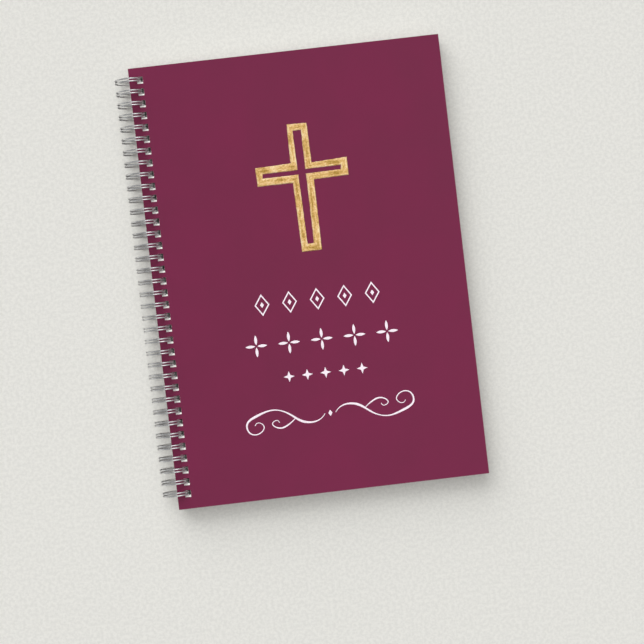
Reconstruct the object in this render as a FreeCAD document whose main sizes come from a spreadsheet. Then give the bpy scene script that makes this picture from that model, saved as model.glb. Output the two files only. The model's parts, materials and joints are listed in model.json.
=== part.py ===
import FreeCAD, Part
import math
import os

import Sketcher

# A twin-loop bound prayer notebook. It lies flat with its front cover up: X runs from the spine to the
# fore-edge, Y from the foot of the page to its head, and Z up from the lowest point of the wire.

VEC = FreeCAD.Vector
ORIGIN = VEC(0, 0, 0)
ALONG = VEC(0, 1, 0)

# Millimetres. A text that starts with "=" is worked out by the spreadsheet from the cells above it.
DIMENSIONS = (
    ("leaf_width", "148"),
    ("leaf_height", "210"),
    ("sheet_thickness", "0.1"),
    ("leaves_per_section", "5"),
    ("section_count", "10"),
    ("board_thickness", "0.46"),
    ("film_thickness", "0.04"),
    ("foil_thickness", "0.05"),
    ("print_thickness", "0.03"),
    ("wire_diameter", "0.75"),
    ("loop_radius", "6.3"),
    ("loop_count", "36"),
    ("loop_pitch", "5.625"),
    ("twin_spacing", "1.28"),
    ("bend_radius", "0.8"),
    ("tip_setback", "1.3"),
    ("edge_gap", "0.45"),
    ("hole_inset", "3.7"),
    ("hole_width", "2.75"),
    ("hole_height", "3.3"),
    ("cover_punch_rise", "0.6"),
    ("leaf_punch_rise", "1.47"),
    ("loop_rise", "1.0"),
    ("cover_rise", "3.3"),
    ("seam_gap", "1.1"),
    ("axis_height", "=loop_radius + wire_diameter / 2"),
    ("axis_across", "=(axis_height - edge_gap - leaf_width) / 2"),
    ("spine_edge", "=axis_across + edge_gap"),
    ("loop_reach", "=(loop_count - 1) * loop_pitch / 2"),
    ("cover_face", "=axis_height + cover_rise"),
    ("front_film_base", "=cover_face - film_thickness"),
    ("front_board_base", "=front_film_base - board_thickness"),
    ("title_leaf_base", "=front_board_base - sheet_thickness"),
    ("section_depth", "=leaves_per_section * sheet_thickness"),
    ("block_base", "=title_leaf_base - section_count * section_depth"),
    ("back_board_base", "=block_base - seam_gap - board_thickness"),
    ("back_film_base", "=back_board_base - film_thickness"),
    # the decoration of the front cover, measured from the middle of the spine edge
    ("motif_centre", "76.4"),
    ("cross_width", "43.6"),
    ("cross_height", "60.7"),
    ("cross_middle", "39.95"),
    ("cross_arm_middle", "47.2"),
    ("cross_post_width", "9.8"),
    ("cross_arm_height", "9.0"),
    ("cross_post_slot", "3.6"),
    ("cross_arm_slot", "2.3"),
    ("cross_end", "3.2"),
    ("cross_slot_height", "=cross_height - 2 * cross_end"),
    ("cross_slot_width", "=cross_width - 2 * cross_end"),
    ("motif_count", "5"),
    ("upper_row", "-13.3"),
    ("upper_spacing", "13.15"),
    ("upper_height", "10.4"),
    ("middle_row", "-32.4"),
    ("middle_spacing", "15.6"),
    ("middle_height", "10.4"),
    ("lower_row", "-48.4"),
    ("lower_spacing", "8.7"),
    ("lower_height", "5.2"),
    ("flourish_row", "-67.7"),
    ("flourish_reach", "41.8"),
)
TITLE_LEAF = "title_leaf"

doc = FreeCAD.newDocument("prayer_notebook")
sheet = doc.addObject("Spreadsheet::Sheet", "Dimensions")
for line, (alias, content) in enumerate(DIMENSIONS, start=1):
    sheet.set(f"A{line}", alias)
    sheet.set(f"B{line}", content)
    sheet.setAlias(f"B{line}", alias)
doc.recompute()


def cell(alias):
    return float(sheet.get(alias))


def bind(item, **formulas):
    """Binds properties to spreadsheet formulas."""
    for name, formula in formulas.items():
        item.setExpression(name, formula)


def place(item, x, z, y=None):
    """Binds an object's position to spreadsheet formulas."""
    for axis, formula in (("x", x), ("y", y), ("z", z)):
        if formula:
            item.setExpression(f".Placement.Base.{axis}", formula)


def dims(formula):
    """Writes each alias in a formula as a reference to its spreadsheet cell."""
    words = formula.replace("(", "( ").replace(")", " )").split()
    return " ".join(f"Dimensions.{w}" if w[0].isalpha() else w for w in words)


def ground_plane(body):
    return next(f for f in body.Origin.OriginFeatures if f.Role == "XY_Plane")


def new_sketch(body):
    sketch = body.newObject("Sketcher::SketchObject", body.Name + "_sketch")
    sketch.AttachmentSupport = (ground_plane(body), [""])
    sketch.MapMode = "FlatFace"
    return sketch


def add_lines(sketch, corners):
    """Adds a closed outline of straight lines, joined at its corners, and returns its lines' numbers."""
    numbers = [
        sketch.addGeometry(Part.LineSegment(VEC(*a, 0), VEC(*b, 0)), False)
        for a, b in zip(corners, corners[1:] + corners[:1])
    ]
    for here, after in zip(numbers, numbers[1:] + numbers[:1]):
        sketch.addConstraint(Sketcher.Constraint("Coincident", here, 2, after, 1))
    return numbers


def driven(sketch, name, formula, *constraint):
    """Adds a named length constraint that follows a spreadsheet formula."""
    number = sketch.addConstraint(Sketcher.Constraint(*constraint, 1.0))
    sketch.renameConstraint(number, name)
    sketch.setExpression(f"Constraints.{name}", formula)


def add_rectangle(sketch, left, low, wide, high):
    """Adds a rectangle. left and low place its lowest left corner from the sketch's origin."""
    bottom, right, top, near = add_lines(sketch, [(1, 1), (2, 1), (2, 2), (1, 2)])
    for line, kind in ((bottom, "Horizontal"), (right, "Vertical"), (top, "Horizontal"), (near, "Vertical")):
        sketch.addConstraint(Sketcher.Constraint(kind, line))
    driven(sketch, "left", dims(left), "DistanceX", -1, 1, bottom, 1)
    driven(sketch, "low", dims(low), "DistanceY", -1, 1, bottom, 1)
    driven(sketch, "wide", dims(wide), "DistanceX", bottom, 1, bottom, 2)
    driven(sketch, "high", dims(high), "DistanceY", right, 1, right, 2)


def new_body(label):
    body = doc.addObject("PartDesign::Body", label)
    body.Label = label
    return body


def add_pad(body, sketch, thickness):
    pad = body.newObject("PartDesign::Pad", body.Name + "_pad")
    pad.Profile = sketch
    bind(pad, Length=dims(thickness))
    return pad


def add_row(body, feature, direction, count, length):
    """Repeats a feature in a row along a sketch's axis."""
    row = body.newObject("PartDesign::LinearPattern", body.Name + "_row")
    row.Originals = [feature]
    row.Direction = direction
    bind(row, Occurrences=dims(count), Length=dims(length))
    body.Tip = row
    return row


def punched_blank(label, thickness, punch_rise):
    """A leaf or cover with its row of binding holes. Its own origin is the middle of its spine edge."""
    body = new_body(label)
    outline = new_sketch(body)
    add_rectangle(outline, "0 * leaf_width", "-1 * leaf_height / 2", "leaf_width", "leaf_height")
    add_pad(body, outline, thickness)
    hole = new_sketch(body)
    lowest = f"{punch_rise} - loop_reach - hole_height / 2"
    add_rectangle(hole, "hole_inset", lowest, "hole_width", "hole_height")
    doc.recompute()
    punch = body.newObject("PartDesign::Pocket", label + "_punch")
    punch.Profile = hole
    punch.Type = "ThroughAll"
    punch.Reversed = True
    add_row(body, punch, (hole, ["V_Axis"]), "loop_count", "( loop_count - 1 ) * loop_pitch")
    return body


def leaf_copy(blank, label, base):
    """A leaf made as an instance of the blank leaf."""
    leaf = doc.addObject("App::Link", label)
    leaf.LinkedObject = blank
    place(leaf, dims("spine_edge"), dims(base))
    return leaf


def grouped(label, leaves):
    """Leaves that turn together, each one a solid of its own."""
    group = doc.addObject("Part::Compound", label)
    group.Label = label
    group.Links = leaves
    return group


def text_block():
    """The title leaf and the sections of ruled leaves, from the front of the book to its back."""
    blank = punched_blank("leaf_blank", "sheet_thickness", "leaf_punch_rise")
    groups = [grouped(TITLE_LEAF, [leaf_copy(blank, "leaf_00", "title_leaf_base")])]
    each = round(cell("leaves_per_section"))
    for first in range(1, round(cell("section_count")) * each + 1, each):
        numbers = range(first, first + each)
        leaves = [
            leaf_copy(blank, f"leaf_{n:02d}", f"title_leaf_base - {n} * sheet_thickness")
            for n in numbers
        ]
        groups.append(grouped(f"leaves_{numbers[0]:02d}_{numbers[-1]:02d}", leaves))
    return groups


def covers():
    """Two card covers, laminated on their outer sides with a coloured film. Their punching is their own."""
    made = []
    for label, thickness, base in (
        ("front_cover_board", "board_thickness", "front_board_base"),
        ("front_cover_film", "film_thickness", "front_film_base"),
        ("back_cover_board", "board_thickness", "back_board_base"),
        ("back_cover_film", "film_thickness", "back_film_base"),
    ):
        cover = punched_blank(label, thickness, "cover_punch_rise")
        place(cover, dims("spine_edge"), dims(base))
        made.append(cover)
    return made


class WirePath:
    """Carries a wire's round section along lines and arcs, and keeps the skin it leaves behind."""

    def __init__(self, start, heading, radius):
        self.at = start
        self.section = Part.makeCircle(radius, start, heading)
        self.skin = [Part.Face(Part.Wire([self.section]))]

    def straight(self, end):
        step = end - self.at
        self.skin.append(self.section.extrude(step))
        self.section = self.section.translated(step)
        self.at = end

    def turn(self, centre, axis, degrees):
        self.skin.append(self.section.revolve(centre, axis, degrees))
        self.section = self.section.rotated(centre, axis, degrees)
        self.at = FreeCAD.Placement(ORIGIN, FreeCAD.Rotation(axis, degrees), centre).multVec(self.at)

    def solid(self):
        self.skin.append(Part.Face(Part.Wire([self.section])))
        shell = Part.Shell(self.skin)
        shell.sewShape()
        return Part.Solid(shell.childShapes()[0] if shell.ShapeType == "Compound" else shell)


def root_angle(radius, bend, height):
    """The angle on the loop where a leg meets its bend, so that the link runs at the given height."""
    return math.asin(height / math.hypot(radius, bend)) - math.atan2(bend, radius)


def binding_wire():
    """One wire bent into a comb of twin loops, joined by links in the gap over the back cover."""
    radius, bend, half = cell("loop_radius"), cell("bend_radius"), cell("twin_spacing") / 2
    middle = VEC(cell("axis_across"), 0, cell("axis_height"))
    seam = cell("block_base") - cell("seam_gap") / 2 - cell("axis_height")
    root = root_angle(radius, bend, seam)
    end = math.asin(seam / radius)
    tip = math.asin(seam / radius) + cell("tip_setback") / radius
    whole = 2 * math.pi

    def on_loop(angle, y):
        return middle + VEC(radius * math.cos(angle), y, radius * math.sin(angle))

    def around(path, y, start, stop):
        """Follows the loop from one angle to another. The loop's own turning axis is -Y."""
        path.turn(VEC(middle.x, y, middle.z), -ALONG, math.degrees(stop - start))

    count, pitch = round(cell("loop_count")), cell("loop_pitch")
    first = cell("loop_rise") - cell("loop_reach")
    down_root = VEC(math.sin(root), 0, -math.cos(root))
    down_tip = VEC(math.sin(tip), 0, -math.cos(tip))
    path = WirePath(
        on_loop(end, first - half), VEC(math.sin(end), 0, -math.cos(end)), cell("wire_diameter") / 2
    )
    for n in range(count):
        y = first + n * pitch
        last = n == count - 1
        around(path, y - half, root if n else end, tip - whole)
        path.turn(on_loop(tip, y), ALONG.cross(down_tip), -180)
        around(path, y + half, tip - whole, end if last else root)
        if not last:
            path.turn(on_loop(root, y + half + bend), ALONG.cross(down_root), 90)
            path.straight(path.at + VEC(0, pitch - 2 * (half + bend), 0))
            path.turn(on_loop(root, y + pitch - half - bend), ALONG.cross(down_root), 90)
    return path.solid()


def wire_part():
    wire = doc.addObject("Part::Feature", "binding_wire")
    wire.Label = "binding_wire"
    wire.Shape = binding_wire()
    wire.Placement = FreeCAD.Placement()
    return wire


def bar(name, across, along, x, y):
    """A flat bar on the front cover. x and y, from the middle of the spine edge, are its centre."""
    box = doc.addObject("Part::Box", name)
    bind(box, Length=dims(across), Width=dims(along), Height=dims("foil_thickness"))
    left = f"spine_edge + {x} - ( {across} ) / 2"
    low = f"{y} - ( {along} ) / 2"
    place(box, dims(left), dims("cover_face"), dims(low))
    return box


def joined(name, bars):
    union = doc.addObject("Part::MultiFuse", name)
    union.Shapes = bars
    return union


def cross_foil():
    """The outline of a cross in foil: an open slot runs down its post and along its arms."""
    outer = joined(
        "cross_outer",
        [
            bar("cross_post", "cross_post_width", "cross_height", "motif_centre", "cross_middle"),
            bar("cross_arms", "cross_width", "cross_arm_height", "motif_centre", "cross_arm_middle"),
        ],
    )
    slots = joined(
        "cross_slots",
        [
            bar("post_slot", "cross_post_slot", "cross_slot_height", "motif_centre", "cross_middle"),
            bar("arm_slot", "cross_slot_width", "cross_arm_slot", "motif_centre", "cross_arm_middle"),
        ],
    )
    foil = doc.addObject("Part::Cut", "cross_foil")
    foil.Label = "cross_foil"
    foil.Base = outer
    foil.Tool = slots
    return foil


def lozenge(half_width, half_height):
    return [(half_width, 0), (0, half_height), (-half_width, 0), (0, -half_height)]


def arc_outline(sketch, arcs):
    """Adds a closed outline of arcs, each given by its start, a point on it and its end."""
    for arc in arcs:
        sketch.addGeometry(Part.Arc(*(VEC(x, y, 0) for x, y in arc)), False)


def petal(angle, inner, outer, half_width):
    """The two arcs of a pointed petal that lies along angle."""
    along = (math.cos(angle), math.sin(angle))
    middle = (inner + outer) / 2

    def at(reach, aside):
        return (reach * along[0] - aside * along[1], reach * along[1] + aside * along[0])

    root, point = at(inner, 0), at(outer, 0)
    return [(root, at(middle, half_width), point), (point, at(middle, -half_width), root)]


def draw_lozenges(sketch):
    """An open lozenge with a small solid one in its middle."""
    height = cell("upper_height") / 2
    for reach in (height, height * 0.8, height * 0.26):
        add_lines(sketch, lozenge(reach * 0.68, reach))


def draw_petals(sketch):
    """Four slim petals."""
    reach = cell("middle_height") / 2
    for quarter in range(4):
        arc_outline(sketch, petal(quarter * math.pi / 2, reach * 0.1, reach, reach * 0.13))


def draw_star(sketch):
    """A star with four points and hollow sides."""
    reach = cell("lower_height") / 2
    waist = reach * 0.26
    corners = []
    for x, y in ((1, 0), (0, 1), (-1, 0), (0, -1)):
        corners += [(x * reach, y * reach), ((x - y) * waist, (x + y) * waist)]
    add_lines(sketch, corners)


def ornament_row(label, draw, name):
    """A printed row of one motif, centred across the front cover's decoration."""
    body = new_body(label)
    motif = new_sketch(body)
    draw(motif)
    pad = add_pad(body, motif, "print_thickness")
    length = f"( motif_count - 1 ) * {name}_spacing"
    add_row(body, pad, (motif, ["H_Axis"]), "motif_count", length)
    left = f"spine_edge + motif_centre - {length} / 2"
    place(body, dims(left), dims("cover_face"), dims(f"{name}_row"))
    return body


def ribbon(points, widths):
    """The face of a pen stroke that follows points, with its width given at each of them."""
    line = Part.BSplineCurve()
    line.interpolate([VEC(x, y, 0) for x, y in points])
    steps = 64
    sides = ([], [])
    for n in range(steps + 1):
        share = n / steps
        at = line.FirstParameter + share * (line.LastParameter - line.FirstParameter)
        place_on_widths = share * (len(widths) - 1)
        below = min(int(place_on_widths), len(widths) - 2)
        width = widths[below] + (place_on_widths - below) * (widths[below + 1] - widths[below])
        ahead = line.tangent(at)[0]
        aside = VEC(-ahead.y, ahead.x, 0) * (width / 2)
        sides[0].append(line.value(at) + aside)
        sides[1].append(line.value(at) - aside)
    edges = []
    for side in sides:
        curve = Part.BSplineCurve()
        curve.interpolate(side)
        edges.append(curve.toShape())
    edges.append(Part.makeLine(sides[0][0], sides[1][0]))
    edges.append(Part.makeLine(sides[0][-1], sides[1][-1]))
    return Part.Face(Part.Wire(Part.__sortEdges__(edges)))


# Half of the scroll under the motifs, as shares of its reach: it leaves the middle, waves and curls up.
SCROLL = (
    (0.06, 0.0),
    (0.17, 0.075),
    (0.33, 0.055),
    (0.47, -0.045),
    (0.63, -0.105),
    (0.83, -0.06),
    (0.955, 0.03),
    (0.93, 0.125),
    (0.82, 0.14),
    (0.765, 0.065),
    (0.815, 0.02),
    (0.865, 0.05),
)
SCROLL_WIDTHS = (0.25, 0.65, 1.1, 0.75, 0.45, 0.65, 1.1, 0.8, 0.5, 0.45, 0.3)
TENDRIL = ((0.40, 0.012), (0.50, 0.085), (0.61, 0.10), (0.665, 0.045), (0.62, 0.015), (0.585, 0.045))
TENDRIL_WIDTHS = (0.25, 0.55, 0.75, 0.55, 0.4, 0.3)


def flourish():
    """A calligraphic scroll, the same when it is turned half round, with a lozenge in its middle."""
    reach = cell("flourish_reach")
    depth = VEC(0, 0, cell("print_thickness"))
    half = [
        ribbon([(x * reach, y * reach) for x, y in points], widths)
        for points, widths in ((SCROLL, SCROLL_WIDTHS), (TENDRIL, TENDRIL_WIDTHS))
    ]
    corners = [VEC(x, y, 0) for x, y in lozenge(1.0, 1.5)]
    middle = Part.Face(Part.makePolygon(corners + corners[:1]))
    strokes = half + [face.rotated(ORIGIN, VEC(0, 0, 1), 180) for face in half]
    merged = strokes[0].fuse(strokes[1:]).removeSplitter()
    return Part.makeCompound([face.extrude(depth) for face in merged.Faces + [middle]])


def flourish_part():
    scroll = doc.addObject("Part::Feature", "signature_flourish")
    scroll.Label = "signature_flourish"
    scroll.Shape = flourish()
    place(scroll, dims("spine_edge + motif_centre"), dims("cover_face"), dims("flourish_row"))
    return scroll


parts = covers() + text_block()
parts += [
    wire_part(),
    cross_foil(),
    ornament_row("ornament_row_upper", draw_lozenges, "upper"),
    ornament_row("ornament_row_middle", draw_petals, "middle"),
    ornament_row("ornament_row_lower", draw_star, "lower"),
    flourish_part(),
]
doc.recompute()

for item in doc.Objects:
    if {"Invalid", "Error"} & set(item.State):
        raise RuntimeError(f"{item.Label}: {item.State}")
os.makedirs("parts", exist_ok=True)
for item in parts:
    shape = item.Shape
    if shape.isNull() or not shape.isValid() or not shape.Solids:
        raise RuntimeError(f"{item.Label} has no sound shape")
    shape.exportStep(f"parts/{item.Label}.step")
    box = shape.BoundBox
    print(
        f"{item.Label:22s} solids {len(shape.Solids):3d}  volume {shape.Volume:10.3f}  "
        f"x {box.XMin:8.3f} {box.XMax:8.3f}  y {box.YMin:8.3f} {box.YMax:8.3f}  "
        f"z {box.ZMin:7.3f} {box.ZMax:7.3f}"
    )
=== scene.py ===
"""A twin-loop bound prayer notebook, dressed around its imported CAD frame.

It lies flat with its front cover up: X runs from the spine to the fore-edge, Y from the foot of the page
to its head and Z up. The CAD says where everything is; the numbers below say only what its boxes can't.
"""

import json
import math
import random

import bmesh
import bpy
from mathutils import Euler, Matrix, Quaternion, Vector, noise


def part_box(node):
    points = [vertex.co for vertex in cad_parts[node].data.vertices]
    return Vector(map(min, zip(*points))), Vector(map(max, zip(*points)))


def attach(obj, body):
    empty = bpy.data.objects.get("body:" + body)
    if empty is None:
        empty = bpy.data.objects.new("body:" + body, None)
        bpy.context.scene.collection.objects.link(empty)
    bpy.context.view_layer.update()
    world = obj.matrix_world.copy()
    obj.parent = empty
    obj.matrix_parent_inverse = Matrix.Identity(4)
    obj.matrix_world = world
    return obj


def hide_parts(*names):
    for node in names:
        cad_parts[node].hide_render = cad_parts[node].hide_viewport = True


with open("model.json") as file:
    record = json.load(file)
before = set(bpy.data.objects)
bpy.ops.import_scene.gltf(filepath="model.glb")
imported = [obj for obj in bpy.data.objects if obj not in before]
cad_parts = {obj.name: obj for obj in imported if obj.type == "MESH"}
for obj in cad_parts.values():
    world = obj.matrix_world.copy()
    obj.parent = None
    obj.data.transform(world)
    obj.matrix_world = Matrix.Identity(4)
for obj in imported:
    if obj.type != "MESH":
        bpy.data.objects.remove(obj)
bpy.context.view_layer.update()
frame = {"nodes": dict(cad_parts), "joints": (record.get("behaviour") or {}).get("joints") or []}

MM = 0.001
SEED = 7
SECTIONS = [name for name in frame["nodes"] if name.startswith("leaves_")]
PRINTS = ("ornament_row_upper", "ornament_row_middle", "ornament_row_lower", "signature_flourish")

# The wire's path, as in part.py, in millimetres.
LOOP_COUNT = 36
LOOP_PITCH = 5.625
LOOP_RISE = 1.0
TWIN_SPACING = 1.28
WIRE_DIAMETER = 0.75
BEND_RADIUS = 0.8
TIP_SETBACK = 1.3

# How finely the wire is divided.
WIRE_SIDES = 14
ARC_STEP = math.radians(6)
BEND_STEP = math.radians(18)

# A leaf is a little thinner than its share of the block, and no two lie quite alike. Millimetres.
LEAF_AIR = 0.03
LEAF_JITTER = 0.1

# How far the cut edges of the covers are rounded, and how far in from them the film is worn. Millimetres.
CARD_BEVEL = 0.05
FILM_BEVEL = 0.012
WORN_EDGE = 0.5

# The ruling of the leaves, from the spine edge and the middle of the page. Millimetres.
RULE_PITCH = 7.1
RULE_WIDTH = 0.22
RULE_LEFT, RULE_RIGHT = 12.0, 141.0
RULE_LOW, RULE_HIGH = -94.0, 86.0


def grid_lines(node, axis):
    """The coordinates along one axis at which a CAD node has corners, in order."""
    return sorted({round(v.co[axis], 6) for v in frame["nodes"][node].data.vertices})


# ------------------------------------------------------------------------------------------------ materials

BURGUNDY = (0.1748, 0.0173, 0.0602)
BURGUNDY_WORN = (0.235, 0.045, 0.10)
CARD = (0.87, 0.862, 0.845)
PAPER = (0.83, 0.82, 0.79)
PAPER_SHADE = (0.72, 0.705, 0.67)
TITLE_PAPER = (0.90, 0.885, 0.87)
RULE_INK = (0.42, 0.46, 0.52)
STEEL = (0.92, 0.92, 0.93)
WIRE_FLANK = (0.08, 0.08, 0.085)
GOLD_DARK = (0.35, 0.195, 0.015)
GOLD = (0.72, 0.442, 0.147)
GOLD_LIGHT = (0.92, 0.71, 0.408)
WHITE_INK = (0.97, 0.86, 0.94)
FLOOR = (0.676, 0.669, 0.633)
FLOOR_GLOW = (0.10, 0.099, 0.0945)

# How fine the texture of each surface is, in patches to a metre.
FILM_GRAIN, FILM_CLOUDS, FILM_SCUFFS = 5200, 38, 900
CARD_FIBRES, PAPER_FIBRES = 2600, 3400
GOLD_POOLS, GOLD_GRAIN = 170, 1300
INK_GRAIN, FLOOR_TOOTH = 1500, 640

# How deep its relief is, in millimetres.
FILM_RELIEF, CARD_RELIEF, PAPER_RELIEF = 0.01, 0.02, 0.012
GOLD_RELIEF, INK_RELIEF, FLOOR_RELIEF = 0.03, 0.01, 0.1

# How strongly wear, clouds, paper fibres and ruled lines show, from 0 to 1.
WEAR_SHARE, CLOUD_SHARE, FIBRE_SHARE, RULE_SHARE = 0.7, 0.05, 0.06, 0.75

# Streaks are patches drawn out along the surface, by scaling its coordinates. The wire's and the gold's
# count millimetres along the wire or the stroke, and go from 0 to 1 round or across it.
CARD_STRETCH = 0.35
WIRE_STREAKS, WIRE_STRETCH = 9.0, 0.02
GOLD_STREAKS, GOLD_ALONG, GOLD_ACROSS = 1.6, 0.13, 2.4

# How much each cause makes the gold paler, and where its three colours lie on the scale of their sum.
STREAK_LIFT, POOL_LIFT, GRAIN_LIFT, SIDE_LIFT = 0.75, 0.4, 0.4, 0.25
GOLD_TONES = ((0.685, GOLD_DARK), (0.825, GOLD), (0.99, GOLD_LIGHT))


def dimmed(colour, share):
    return tuple(channel * share for channel in colour)


class Shader:
    """A material's node tree, with short calls for the nodes that a surface needs."""

    def __init__(self, name, **constants):
        self.material = bpy.data.materials.new(name)
        self.material.use_nodes = True
        self.tree = self.material.node_tree
        self.surface = self.tree.nodes["Principled BSDF"]
        for socket, value in constants.items():
            self.surface.inputs[socket.replace("_", " ")].default_value = value

    def node(self, kind, inputs=None, **settings):
        made = self.tree.nodes.new("ShaderNode" + kind)
        for name, value in settings.items():
            setattr(made, name, value)
        for socket, value in (inputs or {}).items():
            if isinstance(value, bpy.types.NodeSocket):
                self.tree.links.new(value, made.inputs[socket])
            else:
                made.inputs[socket].default_value = value
        return made

    def feed(self, socket, output):
        self.tree.links.new(output, self.surface.inputs[socket])

    def math(self, operation, *values):
        return self.node("Math", dict(enumerate(values)), operation=operation).outputs[0]

    def place(self):
        """The point on the object, in metres."""
        return self.node("TexCoord").outputs["Object"]

    def along_surface(self):
        """How far along the wire or the stroke a point is, and how far round or across it."""
        along, across, _ = self.split(self.node("UVMap").outputs[0])
        return along, across

    def split(self, vector):
        return self.node("SeparateXYZ", {0: vector}).outputs

    def join(self, x, y, z=0.0):
        return self.node("CombineXYZ", {0: x, 1: y, 2: z}).outputs[0]

    def noise(self, scale, detail=4.0, roughness=0.6, vector=None):
        place = vector or self.place()
        inputs = {"Vector": place, "Scale": scale, "Detail": detail, "Roughness": roughness}
        return self.node("TexNoise", inputs).outputs["Fac"]

    def ramp(self, fac, *stops):
        """Colours or grey levels at positions from 0 to 1."""
        made = self.node("ValToRGB", {0: fac})
        elements = made.color_ramp.elements
        while len(elements) < len(stops):
            elements.new(0.5)
        for element, (position, value) in zip(elements, stops):
            element.position = position
            element.color = (*value, 1) if isinstance(value, tuple) else (value, value, value, 1)
        return made.outputs["Color"]

    def stretch(self, fac, low=0.3, high=0.7):
        """Black up to low and white from high, as a noise seldom reaches 0 or 1 by itself."""
        return self.ramp(fac, (low, 0.0), (high, 1.0))

    def mix(self, fac, a, b, blend="MIX"):
        made = self.node("Mix", data_type="RGBA", blend_type=blend)
        for socket, value in ((made.inputs[0], fac), (made.inputs[6], a), (made.inputs[7], b)):
            if isinstance(value, bpy.types.NodeSocket):
                self.tree.links.new(value, socket)
            else:
                socket.default_value = (*value, 1) if isinstance(value, tuple) else value
        return made.outputs[2]

    def vary_roughness(self, fac, smooth, dull, low=0.3, high=0.7):
        """Makes the surface go from smooth to dull as fac goes from low to high."""
        inputs = dict(enumerate((fac, low, high, smooth, dull)))
        self.feed("Roughness", self.node("MapRange", inputs).outputs[0])

    def relief(self, height, depth, strength):
        """Bumps of a depth in millimetres."""
        made = self.node("Bump", {"Height": height, "Distance": depth * MM, "Strength": strength})
        self.feed("Normal", made.outputs[0])


def edge_wear(shader, node, reach):
    """1 on the outline of a node's plate, falling to 0 at reach millimetres inside it."""
    low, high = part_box(node)
    x, y, _ = shader.split(shader.place())
    nearest = None
    for value, line, sign in ((x, low.x, 1), (x, high.x, -1), (y, low.y, 1), (y, high.y, -1)):
        inside = shader.math("MULTIPLY", shader.math("SUBTRACT", value, line), sign)
        nearest = inside if nearest is None else shader.math("MINIMUM", nearest, inside)
    share = shader.math("DIVIDE", nearest, reach * MM)
    return shader.math("SUBTRACT", 1.0, shader.node("Clamp", {0: share}).outputs[0])


def laminate_material(node):
    """Soft-touch laminate: a fine even grain, faint handling marks and a little wear at the cut edges."""
    s = Shader("laminate_" + node, Roughness=0.6, Specular_IOR_Level=0.15)
    grain = s.noise(FILM_GRAIN, detail=3.0)
    clouds = s.noise(FILM_CLOUDS, detail=5.0, roughness=0.55)
    edges = edge_wear(s, node, WORN_EDGE)
    worn = s.math("MULTIPLY", edges, s.stretch(s.noise(FILM_SCUFFS), 0.45, 0.7))
    tone = s.mix(s.math("MULTIPLY", worn, WEAR_SHARE), BURGUNDY, BURGUNDY_WORN)
    s.feed("Base Color", s.mix(CLOUD_SHARE, tone, s.stretch(clouds), "OVERLAY"))
    s.vary_roughness(clouds, smooth=0.52, dull=0.64)
    s.relief(grain, FILM_RELIEF, strength=0.5)
    return s.material


def card_material():
    """Uncoated white card: long soft fibres and a faint tooth."""
    s = Shader("white_card", Roughness=0.85, Specular_IOR_Level=0.2)
    x, y, z = s.split(s.place())
    grain = s.join(s.math("MULTIPLY", x, CARD_STRETCH), y, z)
    fibres = s.noise(CARD_FIBRES, detail=6.0, roughness=0.7, vector=grain)
    s.feed("Base Color", s.mix(s.stretch(fibres), dimmed(CARD, 0.93), CARD))
    s.relief(fibres, CARD_RELIEF, strength=0.6)
    return s.material


def stripes(shader, value, start, pitch, width):
    """1 on lines of one width, a pitch apart, along a coordinate. Metres."""
    turns = shader.math("DIVIDE", shader.math("SUBTRACT", value, start), pitch)
    return shader.math("LESS_THAN", shader.math("FRACT", turns), width / pitch)


def between(shader, value, low, high):
    """1 where a coordinate lies between two values, and 0 elsewhere."""
    inside = shader.math("GREATER_THAN", value, low)
    return shader.math("MULTIPLY", inside, shader.math("LESS_THAN", value, high))


def paper_colour(shader, pale, shade):
    """Uncoated paper whose leaves differ a little in tone, with its fibres as the relief."""
    fibres = shader.noise(PAPER_FIBRES, detail=6.0, roughness=0.7)
    tint = shader.node("Attribute", attribute_name="leaf_tint").outputs["Fac"]
    tone = shader.mix(tint, pale, shade)
    shader.relief(fibres, PAPER_RELIEF, strength=0.6)
    return shader.mix(FIBRE_SHARE, tone, shader.stretch(fibres), "OVERLAY")


def ruled_paper_material(spine_edge):
    """Paper with ruled lines that stop short of the leaf's edges."""
    s = Shader("ruled_paper", Roughness=0.82, Specular_IOR_Level=0.2)
    x, y, _ = s.split(s.place())
    lines = stripes(s, y, RULE_LOW * MM, RULE_PITCH * MM, RULE_WIDTH * MM)
    lines = s.math("MULTIPLY", lines, between(s, y, RULE_LOW * MM, RULE_HIGH * MM))
    inside = between(s, x, spine_edge + RULE_LEFT * MM, spine_edge + RULE_RIGHT * MM)
    ruled = s.math("MULTIPLY", s.math("MULTIPLY", lines, inside), RULE_SHARE)
    s.feed("Base Color", s.mix(ruled, paper_colour(s, PAPER, PAPER_SHADE), RULE_INK))
    return s.material


def plain_paper_material():
    s = Shader("plain_paper", Roughness=0.82, Specular_IOR_Level=0.2)
    s.feed("Base Color", paper_colour(s, TITLE_PAPER, PAPER))
    return s.material


def wire_material():
    """Bright plated steel, drawn along its length and dark where it is seen edge on."""
    s = Shader("plated_wire", Metallic=1.0, Specular_Tint=(*WIRE_FLANK, 1))
    along, around = s.along_surface()
    drawn = s.join(s.math("MULTIPLY", along, WIRE_STRETCH), around)
    streaks = s.noise(WIRE_STREAKS, detail=5.0, vector=drawn)
    s.feed("Base Color", s.mix(streaks, dimmed(STEEL, 0.9), STEEL))
    s.vary_roughness(streaks, smooth=0.20, dull=0.36, low=0.2, high=0.8)
    return s.material


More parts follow.
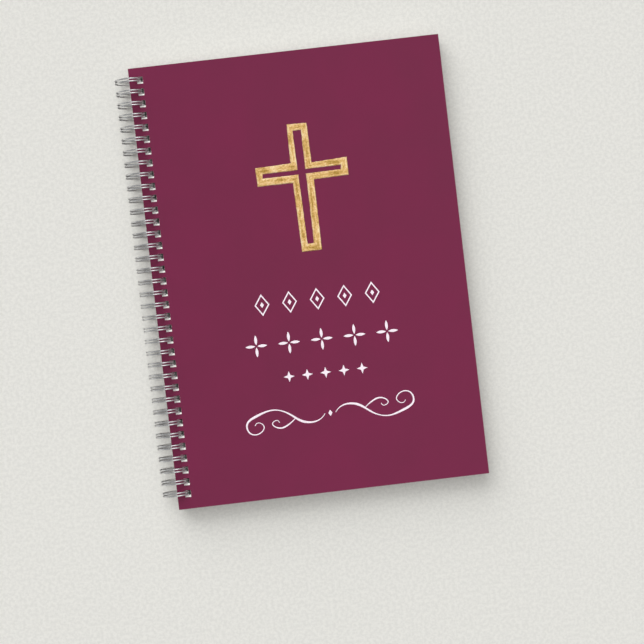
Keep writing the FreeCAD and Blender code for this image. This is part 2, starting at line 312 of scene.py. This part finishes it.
def gold_material():
    """Gold laid on with a dry brush: long streaks, deep along a stroke's middle and pale at its sides."""
    s = Shader("brushed_gold", Metallic=0.35, Specular_IOR_Level=0.5)
    along, across = s.along_surface()
    brush = s.join(s.math("MULTIPLY", along, GOLD_ALONG), s.math("MULTIPLY", across, GOLD_ACROSS))
    streaks = s.noise(GOLD_STREAKS, detail=6.0, roughness=0.68, vector=brush)
    pools = s.noise(GOLD_POOLS, detail=3.0)
    side = s.math("ABSOLUTE", s.math("SUBTRACT", across, 0.5))
    tone = s.math("MULTIPLY_ADD", side, SIDE_LIFT, s.math("MULTIPLY", pools, POOL_LIFT))
    tone = s.math("MULTIPLY_ADD", s.noise(GOLD_GRAIN, detail=3.0), GRAIN_LIFT, tone)
    tone = s.math("MULTIPLY_ADD", streaks, STREAK_LIFT, tone)
    s.feed("Base Color", s.ramp(tone, *GOLD_TONES))
    s.vary_roughness(streaks, smooth=0.34, dull=0.52)
    s.relief(streaks, GOLD_RELIEF, strength=0.7)
    return s.material


def ink_material():
    """Opaque white ink, a touch pink where the cover shows through."""
    s = Shader("white_ink", Roughness=0.6, Specular_IOR_Level=0.3)
    grain = s.noise(INK_GRAIN)
    s.feed("Base Color", s.mix(s.stretch(grain, 0.35, 0.75), WHITE_INK, dimmed(WHITE_INK, 0.93)))
    s.relief(grain, INK_RELIEF, strength=0.4)
    return s.material


def floor_material():
    """A pale matt sheet with a fine tooth. Its faint glow stands for the light that a room gives back."""
    glow = {"Emission_Color": (*FLOOR_GLOW, 1), "Emission_Strength": 1.0}
    s = Shader("pale_floor", Roughness=0.9, Specular_IOR_Level=0.1, **glow)
    tooth = s.noise(FLOOR_TOOTH, detail=6.0, roughness=0.7)
    s.feed("Base Color", s.mix(s.stretch(tooth, 0.42, 0.58), dimmed(FLOOR, 0.90), FLOOR))
    s.relief(tooth, FLOOR_RELIEF, strength=0.3)
    return s.material


# ---------------------------------------------------------------------------------------- covers and leaves


def new_piece(name, points, faces, material, body, node, smooth=False):
    """A mesh that stands for a CAD node and moves with its body."""
    mesh = bpy.data.meshes.new(name)
    mesh.from_pydata(points, [], faces)
    mesh.polygons.foreach_set("use_smooth", [smooth] * len(mesh.polygons))
    mesh.materials.append(material)
    piece = bpy.data.objects.new(name, mesh)
    bpy.context.scene.collection.objects.link(piece)
    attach(piece, body)
    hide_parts(node)
    return piece


def add_plate(points, faces, xs, ys, low, high, shift=(0.0, 0.0)):
    """Adds a plate between the grid's lines, with a hole in every second cell of its second column."""
    first, rows = len(points), len(ys)
    for z in (low, high):
        points += [(x + shift[0], y + shift[1], z) for x in xs for y in ys]
    top = first + len(xs) * rows
    solid = {(i, j) for i in range(len(xs) - 1) for j in range(rows - 1) if i != 1 or j % 2 == 0}
    for i, j in sorted(solid):
        ring = [(i, j), (i + 1, j), (i + 1, j + 1), (i, j + 1)]
        flat = [a * rows + b for a, b in ring]
        faces.append([top + n for n in flat])
        faces.append([first + n for n in reversed(flat)])
        for side, (di, dj) in enumerate(((0, -1), (1, 0), (0, 1), (-1, 0))):
            if (i + di, j + dj) not in solid:
                a, b = flat[side], flat[(side + 1) % 4]
                faces.append([first + a, first + b, top + b, top + a])


def ease_edges(piece, width):
    """Rounds a plate's cut edges by a width in millimetres."""
    bevel = piece.modifiers.new("cut_edge", "BEVEL")
    bevel.width = width * MM
    bevel.segments = 2
    bevel.limit_method = "ANGLE"
    bevel.harden_normals = True


def cover_layer(name, node, material, body, bevel):
    """One layer of a cover, with its cut edges eased."""
    points, faces = [], []
    add_plate(points, faces, grid_lines(node, 0), grid_lines(node, 1), *grid_lines(node, 2))
    ease_edges(new_piece(name, points, faces, material, body, node), bevel)


def covers():
    """The two covers, each a board and its film."""
    card = card_material()
    for side in ("front", "back"):
        cover = side + "_cover"
        film = laminate_material(cover + "_film")
        cover_layer(f"card_{side}", cover + "_board", card, cover, CARD_BEVEL)
        cover_layer(f"laminate_{side}", cover + "_film", film, cover, FILM_BEVEL)


def leaves(name, node, material, body, chance):
    """Every leaf of a CAD node as a sheet of its own, with a little air between the sheets."""
    points, faces, tints = [], [], []
    xs, ys, zs = (grid_lines(node, axis) for axis in range(3))
    section_tint = chance.random()
    for low, high in zip(zs, zs[1:]):
        shift = [chance.uniform(-LEAF_JITTER, LEAF_JITTER) * MM for _ in range(2)]
        add_plate(points, faces, xs, ys, low + LEAF_AIR / 2 * MM, high - LEAF_AIR / 2 * MM, shift)
        tints += [(section_tint + chance.random()) / 2] * (len(points) - len(tints))
    piece = new_piece(name, points, faces, material, body, node)
    piece.data.attributes.new("leaf_tint", "FLOAT", "POINT").data.foreach_set("value", tints)


def text_block():
    """The sections of ruled leaves, and the title leaf that lies on them."""
    chance = random.Random(SEED)
    ruled = ruled_paper_material(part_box("title_leaf")[0].x)
    for node in SECTIONS:
        leaves(node.replace("leaves", "pages"), node, ruled, node.replace("leaves", "section"), chance)
    leaves("page_title", "title_leaf", plain_paper_material(), "title_page", chance)


# --------------------------------------------------------------------------------------------- binding wire


class WirePath:
    """Walks along a wire's centre line and keeps the points it passes."""

    def __init__(self, start):
        self.points = [start]

    def straight(self, end):
        self.points.append(end)

    def turn(self, centre, axis, angle, step):
        """Follows an arc about an axis through centre."""
        arm, steps = self.points[-1] - centre, max(2, math.ceil(abs(angle) / step))
        for n in range(1, steps + 1):
            self.points.append(centre + Quaternion(axis, angle * n / steps) @ arm)


def wire_route(centre, radius, seam):
    """The comb's centre line, in millimetres: twin loops joined by links that lie at the seam's height."""
    half = TWIN_SPACING / 2
    root = math.asin(seam / math.hypot(radius, BEND_RADIUS)) - math.atan2(BEND_RADIUS, radius)
    end = math.asin(seam / radius)
    tip = end + TIP_SETBACK / radius
    along = Vector((0, 1, 0))

    def on_loop(angle, y):
        return centre + Vector((radius * math.cos(angle), y, radius * math.sin(angle)))

    def bend_axis(angle):
        return along.cross(Vector((math.sin(angle), 0, -math.cos(angle))))

    first = LOOP_RISE - (LOOP_COUNT - 1) * LOOP_PITCH / 2
    path = WirePath(on_loop(end, first - half))
    for n in range(LOOP_COUNT):
        y, last = first + n * LOOP_PITCH, n == LOOP_COUNT - 1
        start, stop = root if n else end, end if last else root
        path.turn(Vector((centre.x, y - half, centre.z)), -along, tip - 2 * math.pi - start, ARC_STEP)
        path.turn(on_loop(tip, y), bend_axis(tip), -math.pi, BEND_STEP)
        path.turn(Vector((centre.x, y + half, centre.z)), -along, stop - tip + 2 * math.pi, ARC_STEP)
        if not last:
            leaving, arriving = y + half + BEND_RADIUS, y + LOOP_PITCH - half - BEND_RADIUS
            path.turn(on_loop(root, leaving), bend_axis(root), math.pi / 2, BEND_STEP)
            path.straight(path.points[-1] + along * (LOOP_PITCH - 2 * (half + BEND_RADIUS)))
            path.turn(on_loop(root, arriving), bend_axis(root), math.pi / 2, BEND_STEP)
    return path.points


def wire_rings(route, radius):
    """Circles about a route that never twist, and how far along the route each one is."""
    rings, lengths, length = [], [], 0.0
    aside = (route[1] - route[0]).orthogonal().normalized()
    turns = [2 * math.pi * k / WIRE_SIDES for k in range(WIRE_SIDES)]
    for n, point in enumerate(route):
        ahead = (route[min(n + 1, len(route) - 1)] - route[max(n - 1, 0)]).normalized()
        aside = (aside - ahead * aside.dot(ahead)).normalized()
        other = ahead.cross(aside)
        rings.append([point + (aside * math.cos(t) + other * math.sin(t)) * radius for t in turns])
        length += (point - route[n - 1]).length if n else 0.0
        lengths.append(length)
    return rings, lengths


def tube_faces(ring_count):
    """The faces of a tube through rings of points, closed at both ends."""
    faces = [[WIRE_SIDES - 1 - k for k in range(WIRE_SIDES)]]
    for n in range(ring_count - 1):
        for k in range(WIRE_SIDES):
            here, after = n * WIRE_SIDES, (k + 1) % WIRE_SIDES
            faces.append([here + k, here + after, here + after + WIRE_SIDES, here + k + WIRE_SIDES])
    faces.append([(ring_count - 1) * WIRE_SIDES + k for k in range(WIRE_SIDES)])
    return faces


def lay_along_wire(mesh, lengths):
    """Gives the tube its UV layer: millimetres along the wire, and 0 to 1 round it."""
    layer = mesh.uv_layers.new(name="along_wire").data
    for polygon in mesh.polygons:
        corners = [mesh.loops[i].vertex_index for i in polygon.loop_indices]
        closes_ring = len(corners) == 4 and {c % WIRE_SIDES for c in corners} == {0, WIRE_SIDES - 1}
        for i, corner in zip(polygon.loop_indices, corners):
            ring, side = divmod(corner, WIRE_SIDES)
            around = 1.0 if closes_ring and side == 0 else side / WIRE_SIDES
            layer[i].uv = (lengths[ring], around)


def binding_wire(material):
    """The whole binding wire as one smooth round tube."""
    axis = Vector(frame["joints"][0]["pos_m"]) / MM
    low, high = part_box("binding_wire")
    radius = (high.z - low.z) / MM / 2 - WIRE_DIAMETER / 2
    seam = (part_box("leaves_46_50")[0].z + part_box("back_cover_board")[1].z) / 2 / MM - axis.z
    rings, lengths = wire_rings(wire_route(Vector((axis.x, 0, axis.z)), radius, seam), WIRE_DIAMETER / 2)
    points = [p * MM for ring in rings for p in ring]
    faces = tube_faces(len(rings))
    piece = new_piece("wire_comb", points, faces, material, "binding", "binding_wire", smooth=True)
    lay_along_wire(piece.data, lengths)


# ----------------------------------------------------------------------------------------- cross and prints

# The hand-drawn outline of the cross: how far each corner stands from the CAD's, right and up, in
# millimetres, counted round from the foot's left corner. First the outside, then the open slots.
CROSS_OUTSIDE = (
    (0.45, -0.05), (0.15, 0.0), (0.18, 0.40), (-0.12, 0.75), (-0.08, 0.32), (0.0, -0.45),
    (-0.25, -0.10), (0.03, 0.08), (-0.20, 0.20), (-0.24, -0.28), (0.0, -0.19), (-0.15, -0.16),
)
CROSS_SLOTS = (
    (0.40, 0.30), (-0.20, 0.40), (-0.20, 0.20), (-0.36, 0.44), (-0.13, 0.16), (-0.20, 0.05),
    (-0.24, 0.0), (-0.58, 0.0), (-0.30, -0.05), (-0.15, -0.13), (-0.40, 0.14), (-0.20, 0.10),
)
# Which of the CAD cross's eight grid lines across and up each corner lies on.
OUTSIDE_LINES = (
    (2, 0), (5, 0), (5, 2), (7, 2), (7, 5), (5, 5), (5, 7), (2, 7), (2, 5), (0, 5), (0, 2), (2, 2),
)
SLOT_LINES = (
    (3, 1), (4, 1), (4, 3), (6, 3), (6, 4), (4, 4), (4, 6), (3, 6), (3, 4), (1, 4), (1, 3), (3, 3),
)

# How finely a stroke is divided: steps along it, in millimetres, and lanes across it.
BRUSH_STEP = 0.45
BRUSH_LANES = 7
FEWEST_STEPS = 4

# How far the brush strays, in millimetres, and how often, in patches of noise to a metre.
BRUSH_WOBBLE = 0.13
WOBBLE_PATCHES = 900

# The ridges that the bristles leave: how high, in millimetres, and how many to a millimetre along a stroke
# and to its width. At its rims a stroke has only a share of its thickness.
RIDGE_HEIGHT = 0.022
RIDGES_ALONG, RIDGES_ACROSS = 0.12, 4.0
RIM_SHARE = 0.4

# Which slice of the noise the ridges come from, and how far apart the strokes lie in the noise of the
# ridges and in that of the streaks.
RIDGE_SLICE = 3.0
RIDGE_STRIDE, STREAK_STRIDE = 7, 31.0

# Points of the strokes that lie nearer than this are one point. Millimetres.
WELD = 0.002


def cross_corners(lines, offsets):
    """The corners of one outline of the hand-drawn cross."""
    xs, ys = grid_lines("cross_foil", 0), grid_lines("cross_foil", 1)
    return [Vector((xs[i] + dx * MM, ys[j] + dy * MM)) for (i, j), (dx, dy) in zip(lines, offsets)]


def brush_wobble(point):
    """How far the brush strayed at a point of the cover."""
    place = Vector((point.x, point.y, 0.0)) * WOBBLE_PATCHES
    return noise.noise_vector(place).xy * BRUSH_WOBBLE * MM


def bristle_ridge(along, across, n):
    """How high the bristles left the gold at a place on stroke n, in millimetres."""
    place = Vector((along * RIDGES_ALONG + n * RIDGE_STRIDE, across * RIDGES_ACROSS, RIDGE_SLICE))
    return max(0.0, noise.noise(place) * RIDGE_HEIGHT)


def stroke_faces(first, steps):
    """The faces of a stroke whose points start at first, in rows of a top and a bottom point per lane."""
    faces, row = [], 2 * (BRUSH_LANES + 1)
    for start in range(first, first + steps * row, row):
        end = start + row - 2
        for a in range(start, end, 2):
            faces.append([a + row, a + 2 + row, a + 2, a])
            faces.append([a + 1, a + 3, a + 3 + row, a + 1 + row])
        faces.append([start, start + 1, start + 1 + row, start + row])
        faces.append([end + row, end + 1 + row, end + 1, end])
    return faces


def cross_stroke(points, faces, uvs, outside, slots, n, base, thickness):
    """Adds one mitred stroke of the cross, between its outer and its inner corners."""
    after = (n + 1) % len(outside)
    length = (outside[after] - outside[n]).length / MM
    steps = max(FEWEST_STEPS, round(length / BRUSH_STEP))
    faces += stroke_faces(len(points), steps)
    for i in range(steps + 1):
        share = i / steps
        outer = outside[n].lerp(outside[after], share)
        inner = slots[n].lerp(slots[after], share)
        for lane in range(BRUSH_LANES + 1):
            across = lane / BRUSH_LANES
            flat = outer.lerp(inner, across)
            flat += brush_wobble(flat)
            ridge = bristle_ridge(share * length, across, n)
            rim = RIM_SHARE if lane in (0, BRUSH_LANES) else 1.0
            points += [(*flat, base + (thickness + ridge * MM) * rim), (*flat, base)]
            uvs += [(share * length + n * STREAK_STRIDE, across)] * 2


def weld(mesh):
    """Joins the strokes where their ends meet and turns every face outwards."""
    merged = bmesh.new()
    merged.from_mesh(mesh)
    bmesh.ops.remove_doubles(merged, verts=merged.verts, dist=WELD * MM)
    bmesh.ops.recalc_face_normals(merged, faces=merged.faces)
    merged.to_mesh(mesh)
    merged.free()


def gold_cross(material):
    """The cross as twelve brush strokes that meet in mitres."""
    noise.seed_set(SEED)  # Otherwise the brush's wobble comes from the clock and differs each run.
    low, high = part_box("cross_foil")
    outside = cross_corners(OUTSIDE_LINES, CROSS_OUTSIDE)
    slots = cross_corners(SLOT_LINES, CROSS_SLOTS)
    points, faces, uvs = [], [], []
    for n in range(len(outside)):
        cross_stroke(points, faces, uvs, outside, slots, n, low.z, high.z - low.z)
    mesh = new_piece("cross_gold", points, faces, material, "front_cover", "cross_foil").data
    layer = mesh.uv_layers.new(name="along_stroke").data
    for loop in mesh.loops:
        layer[loop.index].uv = uvs[loop.vertex_index]
    weld(mesh)
    mesh.polygons.foreach_set("use_smooth", [True] * len(mesh.polygons))


def ink_prints(ink):
    """The rows of motifs and the scroll keep their CAD shapes and take the ink."""
    for node in PRINTS:
        printed = frame["nodes"][node]
        printed.data.materials.clear()
        printed.data.materials.append(ink)


# ------------------------------------------------------------------------------------ floor, light, camera

FLOOR_SIDE = 12.0
CAMERA_PLACE = (-0.01043, -0.02366, 0.8093)
CAMERA_TILT = (0.084, -1.247, -6.647)
CAMERA_LENS = 94.3
CAMERA_NEAR, CAMERA_FAR = 0.01, 50.0

# Each light's name, heading, spread in degrees and strength, and whether it is the one that glossy surfaces
# mirror. The others light matt surfaces only.
LIGHTS = (
    ("key", (0.33, -0.84, -0.55), 60.0, 2.45, False),
    ("top", (0.10, -0.12, -0.97), 95.0, 1.09, False),
    ("panel", (-0.40, -0.05, -0.91), 47.0, 0.94, True),
)

# The sky's strength at the sides, and how much it grows towards the way it leans.
SKY_SIDE = 0.36
SKY_SLOPE = 0.12
SKY_LEAN = (-0.10, 0.20, -0.97)


def pale_floor():
    half = FLOOR_SIDE / 2
    mesh = bpy.data.meshes.new("floor")
    corners = [(-half, -half, 0), (half, -half, 0), (half, half, 0), (-half, half, 0)]
    mesh.from_pydata(corners, [], [(0, 1, 2, 3)])
    mesh.materials.append(floor_material())
    floor = bpy.data.objects.new("floor", mesh)
    bpy.context.scene.collection.objects.link(floor)


def soft_sky():
    """A pale dome, a little dimmer overhead than at the sides."""
    world = bpy.data.worlds.new("studio")
    bpy.context.scene.world = world
    world.use_nodes = True
    nodes, links = world.node_tree.nodes, world.node_tree.links
    facing, level = nodes.new("ShaderNodeVectorMath"), nodes.new("ShaderNodeMath")
    facing.operation = "DOT_PRODUCT"
    facing.inputs[1].default_value = Vector(SKY_LEAN).normalized()
    level.operation = "MULTIPLY_ADD"
    level.inputs[1].default_value = SKY_SLOPE
    level.inputs[2].default_value = SKY_SIDE
    background = nodes["Background"]
    background.inputs["Color"].default_value = (1.0, 1.0, 1.0, 1.0)
    links.new(nodes.new("ShaderNodeTexCoord").outputs["Generated"], facing.inputs[0])
    links.new(facing.outputs["Value"], level.inputs[0])
    links.new(level.outputs[0], background.inputs["Strength"])


def soft_light(name, heading, spread, strength, glints):
    """A wide light from far away, seen either in glints only or on matt surfaces only."""
    data = bpy.data.lights.new(name, "SUN")
    data.angle = math.radians(spread)
    data.energy = strength
    light = bpy.data.objects.new(name, data)
    light.rotation_euler = Vector(heading).to_track_quat("-Z", "Y").to_euler()
    light.visible_glossy = glints
    light.visible_diffuse = not glints
    bpy.context.scene.collection.objects.link(light)


def camera():
    """The photograph's view, from almost straight above."""
    data = bpy.data.cameras.new("camera")
    data.lens = CAMERA_LENS
    data.clip_start, data.clip_end = CAMERA_NEAR, CAMERA_FAR
    eye = bpy.data.objects.new("camera", data)
    eye.location = CAMERA_PLACE
    eye.rotation_euler = Euler([math.radians(a) for a in CAMERA_TILT])
    bpy.context.scene.collection.objects.link(eye)
    bpy.context.scene.camera = eye


covers()
text_block()
binding_wire(wire_material())
gold_cross(gold_material())
ink_prints(ink_material())

bpy.context.scene.view_settings.view_transform = "Standard"
pale_floor()
soft_sky()
for light in LIGHTS:
    soft_light(*light)
camera()

bpy.context.view_layer.update()
